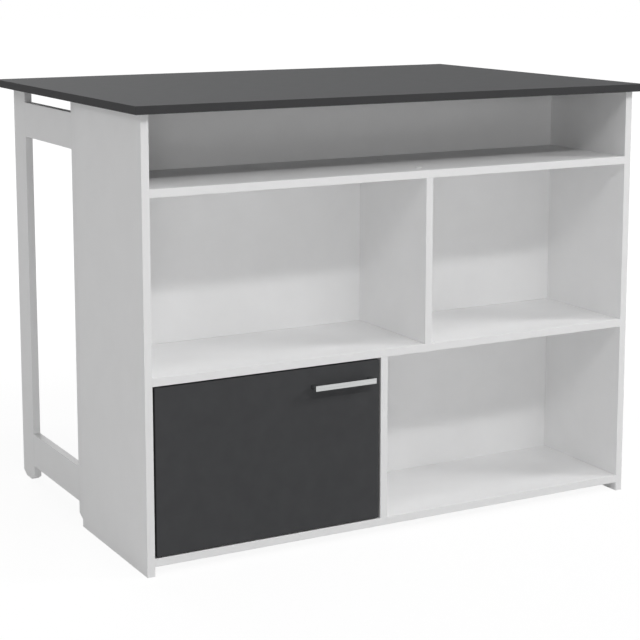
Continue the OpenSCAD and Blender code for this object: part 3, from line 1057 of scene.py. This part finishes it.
@dataclass(frozen=True)
class ScrewGroup:
    """The screws of one node, with a cross recess in each head.

    Attributes:
        node: Node of the screws.
        head: Form of the head.
        body: The body that they ride on.
        point_length: Length of the point, as a share of the shank's radius.
        tip: Radius of the point's end, as a share of the shank's radius.
        recess_span: Width of the recess, as a share of the head's diameter.
        recess_arm: Width of an arm of the recess, as a share of the head's diameter.
        recess_depth: Depth of the recess, as a share of the head's height.
        recess_mouth: Scale of the cross at its upper end, just over the head.
        recess_over: Height of that end over the head, as a share of the head's height.
        recess_floor: Scale of the cross at its floor.
        steps: Number of steps round a screw.
    """

    node: str
    head: HeadForm
    body: Body
    point_length: float = 1.5
    tip: float = 0.15
    recess_span: float = 0.6
    recess_arm: float = 0.15
    recess_depth: float = 0.8
    recess_mouth: float = 1.05
    recess_over: float = 0.2
    recess_floor: float = 0.5
    steps: int = 40

    def solids(self) -> list[RoundSolid]:
        """Measures the group's screws along their longest side.

        Returns:
            The measured screws.
        """
        found = []
        for points in loose_solids(self.node):
            extents = extents_of(points)
            found.append(measure_round(points, extents.index(max(extents))))
        return found

    def profile(self, solid: RoundSolid) -> list[Point]:
        """Draws half the outline of a screw, from its head to its point.

        Args:
            solid: A measured screw of the group.

        Returns:
            Points of radius and depth.
        """
        height, length, shank = solid.head_height, solid.length, solid.shank_radius
        head = [(solid.head_radius * across, height * down) for across, down in HEAD_OUTLINES[self.head]]
        point = [(shank, length - self.point_length * shank), (self.tip * shank, length), (0.0, length)]
        return [*head, (shank, height), *point]

    def recess(self, solid: RoundSolid) -> bmesh.types.BMesh:
        """Makes the tapered cross that is cut from a head.

        Args:
            solid: A measured screw of the group.

        Returns:
            The cross, from just over the head downwards.
        """
        span = self.recess_span * solid.head_radius
        arm = self.recess_arm * solid.head_radius
        corners = [
            (span, -arm), (span, arm), (arm, arm), (arm, span), (-arm, span), (-arm, arm),
            (-span, arm), (-span, -arm), (-arm, -arm), (-arm, -span), (arm, -span), (arm, -arm),
        ]
        levels = (
            (self.recess_mouth, -self.recess_over * solid.head_height),
            (self.recess_floor, self.recess_depth * solid.head_height),
        )
        mesh = bmesh.new()
        mouth, floor = (
            [mesh.verts.new((x * scale, y * scale, z)) for x, y in corners] for scale, z in levels
        )
        for corner in range(len(corners)):
            beside = (corner + 1) % len(corners)
            mesh.faces.new((mouth[corner], mouth[beside], floor[beside], floor[corner]))
        mesh.faces.new(mouth)
        mesh.faces.new(floor)
        bmesh.ops.recalc_face_normals(mesh, faces=mesh.faces)
        return mesh

    def pattern(self, solid: RoundSolid) -> bpy.types.Mesh:
        """Makes one screw with its recess cut out.

        Args:
            solid: A measured screw of the group.

        Returns:
            The screw's mesh, pointing along +Z.
        """
        screw = add_mesh("screw_pattern", turned(self.profile(solid), self.steps))
        cross = add_mesh("recess_pattern", self.recess(solid))
        cut = screw.modifiers.new("recess", "BOOLEAN")
        cut.operation = "DIFFERENCE"
        cut.solver = "EXACT"
        cut.object = cross
        graph = bpy.context.evaluated_depsgraph_get()
        made = bpy.data.meshes.new_from_object(screw.evaluated_get(graph))
        for spare in (screw, cross):
            bpy.data.objects.remove(spare)
        return made

    def build(self, book: FinishBook) -> None:
        """Builds the group in the place of its node.

        Args:
            book: The finishes.
        """
        solids = self.solids()
        pattern = self.pattern(solids[0])
        mesh = place_copies(pattern, solids)
        bpy.data.meshes.remove(pattern)
        slot = slot_of(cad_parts[self.node].material_slots[0])
        screws = finish_piece(self.node + "_cross_head", mesh, self.body, book.material(slot))
        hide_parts(self.node)


@dataclass(frozen=True)
class CoverCaps:
    """The caps over the long screws: a low crown, a round shoulder and a short upright rim.

    Attributes:
        node: Node of the caps.
        crown: Radius of the crown, as a share of the cap's.
        crown_rings: Radii of the rings across the crown, as shares of the crown's.
        rise: Depth of the crown's edge, as a share of the thickness.
        rim: Depth of the rim's upper edge, as a share of the thickness.
        shoulder_steps: Number of steps round the shoulder.
        steps: Number of steps round a cap.
    """

    node: str = "cover_caps"
    crown: float = 0.86
    crown_rings: Point = (0.4, 0.8)
    rise: float = 0.1
    rim: float = 0.42
    shoulder_steps: int = 8
    steps: int = 48

    def solids(self) -> list[RoundSolid]:
        """Measures the caps along their thinnest side, which faces away from the table.

        Returns:
            The measured caps.
        """
        middle = (CAD_BOX[0] + CAD_BOX[1]) / 2
        found = []
        for points in loose_solids(self.node):
            extents = extents_of(points)
            along = extents.index(min(extents))
            outside = points[0][along] > middle[along] or along == Axis.Y.value
            found.append(measure_round(points, along, outside))
        return found

    def profile(self, cap: RoundSolid) -> list[Point]:
        """Draws half the outline of a cap, from the middle of its crown.

        Args:
            cap: A measured cap.

        Returns:
            Points of radius and depth.
        """
        radius, thickness = cap.head_radius, cap.length
        reach, edge = radius * self.crown, thickness * self.rise
        crown = [(reach * share, edge * share ** 2) for share in self.crown_rings]
        width, drop = radius * (1 - self.crown), thickness * (self.rim - self.rise)
        turns = [math.pi / 2 * step / self.shoulder_steps for step in range(self.shoulder_steps + 1)]
        shoulder = [
            (radius - width * (1 - math.sin(turn)), edge + drop * (1 - math.cos(turn))) for turn in turns
        ]
        return [(0.0, 0.0), *crown, *shoulder, (radius, thickness), (0.0, thickness)]

    def build(self, book: FinishBook) -> None:
        """Builds the domed caps in the place of their node.

        Args:
            book: The finishes.
        """
        solids = self.solids()
        pattern = add_mesh("cap_pattern", turned(self.profile(solids[0]), self.steps))
        mesh = place_copies(pattern.data, solids)
        bpy.data.objects.remove(pattern)
        slot = Slot.WHITE_PLASTIC
        caps = finish_piece("cover_caps_domed", mesh, Body.TABLE, book.material(slot))
        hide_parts(self.node)


@dataclass
class Door(SubAssembly):
    """The anthracite door with its handle, bushes and strike plate.

    Attributes:
        metal_radius: Radius of the edges of the handle, in metres.
        fitting_radius: Radius of the edges of the door's small fittings, in metres.
    """

    metal_radius: float = 0.4 * MM
    fitting_radius: float = 0.2 * MM

    def build(self) -> None:
        """Dresses the door's nodes, bands its edges and builds its screws."""
        self.dress_all(["door_panel"])
        band = EdgeBand("door_panel", Axis.Y)
        self.glue_band(band, [band.rectangle()], closed=True, slot=Slot.ANTHRACITE_BOARD, body=Body.DOOR)
        for node in ("handle_bar", "handle_posts"):
            self.book.dress(node, self.metal_radius)
        for node in ("pivot_bushes", "strike_plate"):
            self.book.dress(node, self.fitting_radius)
        ScrewGroup("handle_screws", HeadForm.PAN, Body.DOOR).build(self.book)
        ScrewGroup("strike_screw", HeadForm.FLAT, Body.DOOR).build(self.book)


@dataclass
class Fittings(SubAssembly):
    """The fixed fittings: pins, catch, cams, bolts, dowels, screws, caps and brackets.

    Attributes:
        fitting_radius: Radius of the edges of a fitting, in metres.
    """

    fitting_radius: float = 0.2 * MM

    def build(self) -> None:
        """Dresses the fittings and builds the caps and the screws that show."""
        kept = [
            "pivot_pins", "catch_housing", "catch_magnet", "catch_poles",
            "shelf_cams", "shelf_cam_bolts", "rail_cams", "rail_cam_bolts",
            "shelf_dowels", "rail_dowels", "divider_dowels", "tabletop_dowels",
            "divider_screws", "back_screws", "top_brackets",
        ]
        for node in kept:
            self.book.dress(node, self.fitting_radius)
        ScrewGroup("catch_screws", HeadForm.PAN, Body.TABLE).build(self.book)
        ScrewGroup("bracket_screws", HeadForm.PAN, Body.TABLE).build(self.book)
        ScrewGroup("post_screws", HeadForm.FLAT, Body.TABLE).build(self.book)
        CoverCaps().build(self.book)


@dataclass(frozen=True)
class Lamp:
    """A soft lamp that points at the table's middle.

    Attributes:
        name: Name of the lamp.
        azimuth: Its direction seen from above, in degrees: 0 in front of the unit, 90 at its right.
        elevation: Its height over the horizon, in degrees.
        width: Its width, in metres.
        height: Its height, in metres.
        level: How bright it alone makes a white surface that faces it.
        distance: Its distance from the table's middle, in metres.
    """

    name: str
    azimuth: float
    elevation: float
    width: float
    height: float
    level: float
    distance: float = 8.0

    def build(self, target: Vector) -> None:
        """Hangs the lamp.

        Args:
            target: The point that it is aimed at.
        """
        data = bpy.data.lights.new(self.name, "AREA")
        data.shape = "RECTANGLE"
        data.size = self.width
        data.size_y = self.height
        data.energy = self.level * (math.pi * self.distance) ** 2
        lamp = add_object(self.name, data)
        around, up = math.radians(self.azimuth), math.radians(self.elevation)
        away = Vector((math.sin(around) * math.cos(up), -math.cos(around) * math.cos(up), math.sin(up)))
        lamp.location = target + away * self.distance
        lamp.rotation_euler = away.to_track_quat("Z", "Y").to_euler()
        log.info("lamp %s at level %.2f", self.name, self.level)


@dataclass(frozen=True)
class Viewpoint:
    """The photograph's camera.

    Attributes:
        place: Where it stands, in metres.
        heading: Degrees that it is turned from +Y towards +X.
        tilt: Degrees that it looks down.
        lens: Focal length, in millimetres.
        sensor: Width of the sensor, in millimetres.
        rise: Upward shift of the lens, as a share of the picture's width.
    """

    place: tuple[float, float, float] = (-1.7649, -3.2382, 1.1621)
    heading: float = 28.789
    tilt: float = 8.866
    lens: float = 95.41
    sensor: float = 36.0
    rise: float = -0.15

    def build(self) -> None:
        """Sets up the camera and makes it the scene's."""
        data = bpy.data.cameras.new("photo_camera")
        data.lens = self.lens
        data.sensor_width = self.sensor
        data.shift_y = self.rise
        camera = add_object("photo_camera", data)
        camera.location = self.place
        camera.rotation_euler = (math.radians(90 - self.tilt), 0.0, -math.radians(self.heading))
        bpy.context.scene.camera = camera
        log.info("camera at %s", self.place)


def show_to_eye(tree: bpy.types.NodeTree, light: Socket, seen: Socket, output: Socket) -> None:
    """Shows one shader to rays of the camera, of gloss and of glass, and lights with another.

    Args:
        tree: The node tree of a material or of the world.
        light: The shader that lights the table.
        seen: The shader that is seen directly.
        output: The input that takes the result.
    """
    path = tree.nodes.new("ShaderNodeLightPath")
    directly = path.outputs["Is Camera Ray"]
    for name in ("Is Glossy Ray", "Is Transmission Ray"):
        either = tree.nodes.new("ShaderNodeMath")
        either.operation = "MAXIMUM"
        tree.links.new(directly, either.inputs[0])
        tree.links.new(path.outputs[name], either.inputs[1])
        directly = either.outputs["Value"]
    choose = tree.nodes.new("ShaderNodeMixShader")
    tree.links.new(directly, choose.inputs["Fac"])
    tree.links.new(light, choose.inputs[1])
    tree.links.new(seen, choose.inputs[2])
    tree.links.new(choose.outputs["Shader"], output)


@dataclass(frozen=True)
class Studio:
    """A pale studio: a floor, an even surrounding light, soft lamps and the camera.

    Attributes:
        floor_radius: Radius of the floor, in metres.
        floor_steps: Number of steps round the floor.
        floor_colour: Colour of the floor that lights the table from below.
        floor_level: How much light the open floor round the table gets.
        shadow_share: How much of the floor's shadow the camera sees.
        shadow_reach: Distances from the table's middle between which the shadow fades, in metres.
        surround: Level of the surrounding light.
        lamps: The lamps.
    """

    floor_radius: float = 30.0
    floor_steps: int = 96
    floor_colour: float = 0.7
    floor_level: float = 0.86
    shadow_share: float = 0.1
    shadow_reach: Point = (1.0, 2.6)
    surround: float = 0.273
    lamps: tuple[Lamp, ...] = (
        Lamp("key", azimuth=5.0, elevation=40.5, width=5.0, height=0.45, level=0.235),
        Lamp("low_front", azimuth=-25.0, elevation=6.0, width=3.0, height=1.5, level=0.105),
        Lamp("left_fill", azimuth=-50.0, elevation=33.0, width=2.0, height=2.0, level=0.09),
        Lamp("right_fill", azimuth=60.0, elevation=30.0, width=2.0, height=2.0, level=0.34),
        Lamp("top_fill", azimuth=0.0, elevation=74.0, width=3.0, height=1.0, level=0.095),
        Lamp("rear_fill", azimuth=180.0, elevation=35.0, width=4.0, height=2.0, level=0.28),
    )

    def build_world(self) -> None:
        """Makes the surroundings: plain white to the eye, a little less as light."""
        world = bpy.data.worlds.new("studio")
        world.use_nodes = True
        tree = world.node_tree
        tree.nodes.clear()
        light, seen = (tree.nodes.new("ShaderNodeBackground") for _ in range(2))
        light.inputs["Color"].default_value = WHITE
        light.inputs["Strength"].default_value = self.surround
        seen.inputs["Color"].default_value = WHITE
        seen.inputs["Strength"].default_value = 1.0
        output = tree.nodes.new("ShaderNodeOutputWorld")
        show_to_eye(tree, light.outputs["Background"], seen.outputs["Background"], output.inputs["Surface"])
        bpy.context.scene.world = world

    def floor_material(self) -> bpy.types.Material:
        """Makes the floor's material: pale as light, white with a soft shadow to the eye.

        Returns:
            The material.
        """
        material = bpy.data.materials.new("studio_floor")
        material.use_nodes = True
        tree = material.node_tree
        tree.nodes.clear()
        pale, shadowed = (tree.nodes.new("ShaderNodeBsdfDiffuse") for _ in range(2))
        pale.inputs["Color"].default_value = (*(self.floor_colour,) * 3, 1.0)
        shadowed.inputs["Color"].default_value = (*(self.shadow_share,) * 3, 1.0)
        place = tree.nodes.new("ShaderNodeTexCoord").outputs["Object"]
        away = tree.nodes.new("ShaderNodeVectorMath")
        away.operation = "LENGTH"
        tree.links.new(place, away.inputs[0])
        fade = tree.nodes.new("ShaderNodeMapRange")
        fade.inputs["From Min"].default_value, fade.inputs["From Max"].default_value = self.shadow_reach
        fade.inputs["To Min"].default_value = 1.0 - self.shadow_share * self.floor_level
        fade.inputs["To Max"].default_value = 1.0
        tree.links.new(away.outputs["Value"], fade.inputs["Value"])
        glow = tree.nodes.new("ShaderNodeEmission")
        tree.links.new(fade.outputs["Result"], glow.inputs["Strength"])
        both = tree.nodes.new("ShaderNodeAddShader")
        tree.links.new(shadowed.outputs["BSDF"], both.inputs[0])
        tree.links.new(glow.outputs["Emission"], both.inputs[1])
        output = tree.nodes.new("ShaderNodeOutputMaterial")
        show_to_eye(tree, pale.outputs["BSDF"], both.outputs["Shader"], output.inputs["Surface"])
        return material

    def build_floor(self) -> None:
        """Lays a round floor under the table."""
        mesh = bmesh.new()
        bmesh.ops.create_circle(mesh, cap_ends=True, segments=self.floor_steps, radius=self.floor_radius)
        floor = add_mesh("studio_floor", mesh)
        floor.data.materials.append(self.floor_material())
        floor.location.z = CAD_BOX[0].z

    def build(self) -> None:
        """Builds the whole studio and chooses the plain view transform."""
        self.build_world()
        self.build_floor()
        target = (CAD_BOX[0] + CAD_BOX[1]) / 2
        for lamp in self.lamps:
            lamp.build(target)
        Viewpoint().build()
        bpy.context.scene.view_settings.view_transform = "Standard"


def main() -> None:
    """Builds each sub-assembly in order and reports it."""
    logging.basicConfig(level=logging.INFO, format="%(message)s")
    book = FinishBook()
    steps: list[tuple[str, Callable[[], None]]] = [
        ("tabletop", Tabletop(book).build),
        ("storage unit", StorageUnit(book).build),
        ("left side frame", SideFrame(book, side=Side.LEFT).build),
        ("right side frame", SideFrame(book, side=Side.RIGHT).build),
        ("door", Door(book).build),
        ("fittings", Fittings(book).build),
        ("studio", Studio().build),
    ]
    for name, build in steps:
        log.info("building the %s", name)
        build()


if __name__ == "__main__":
    main()
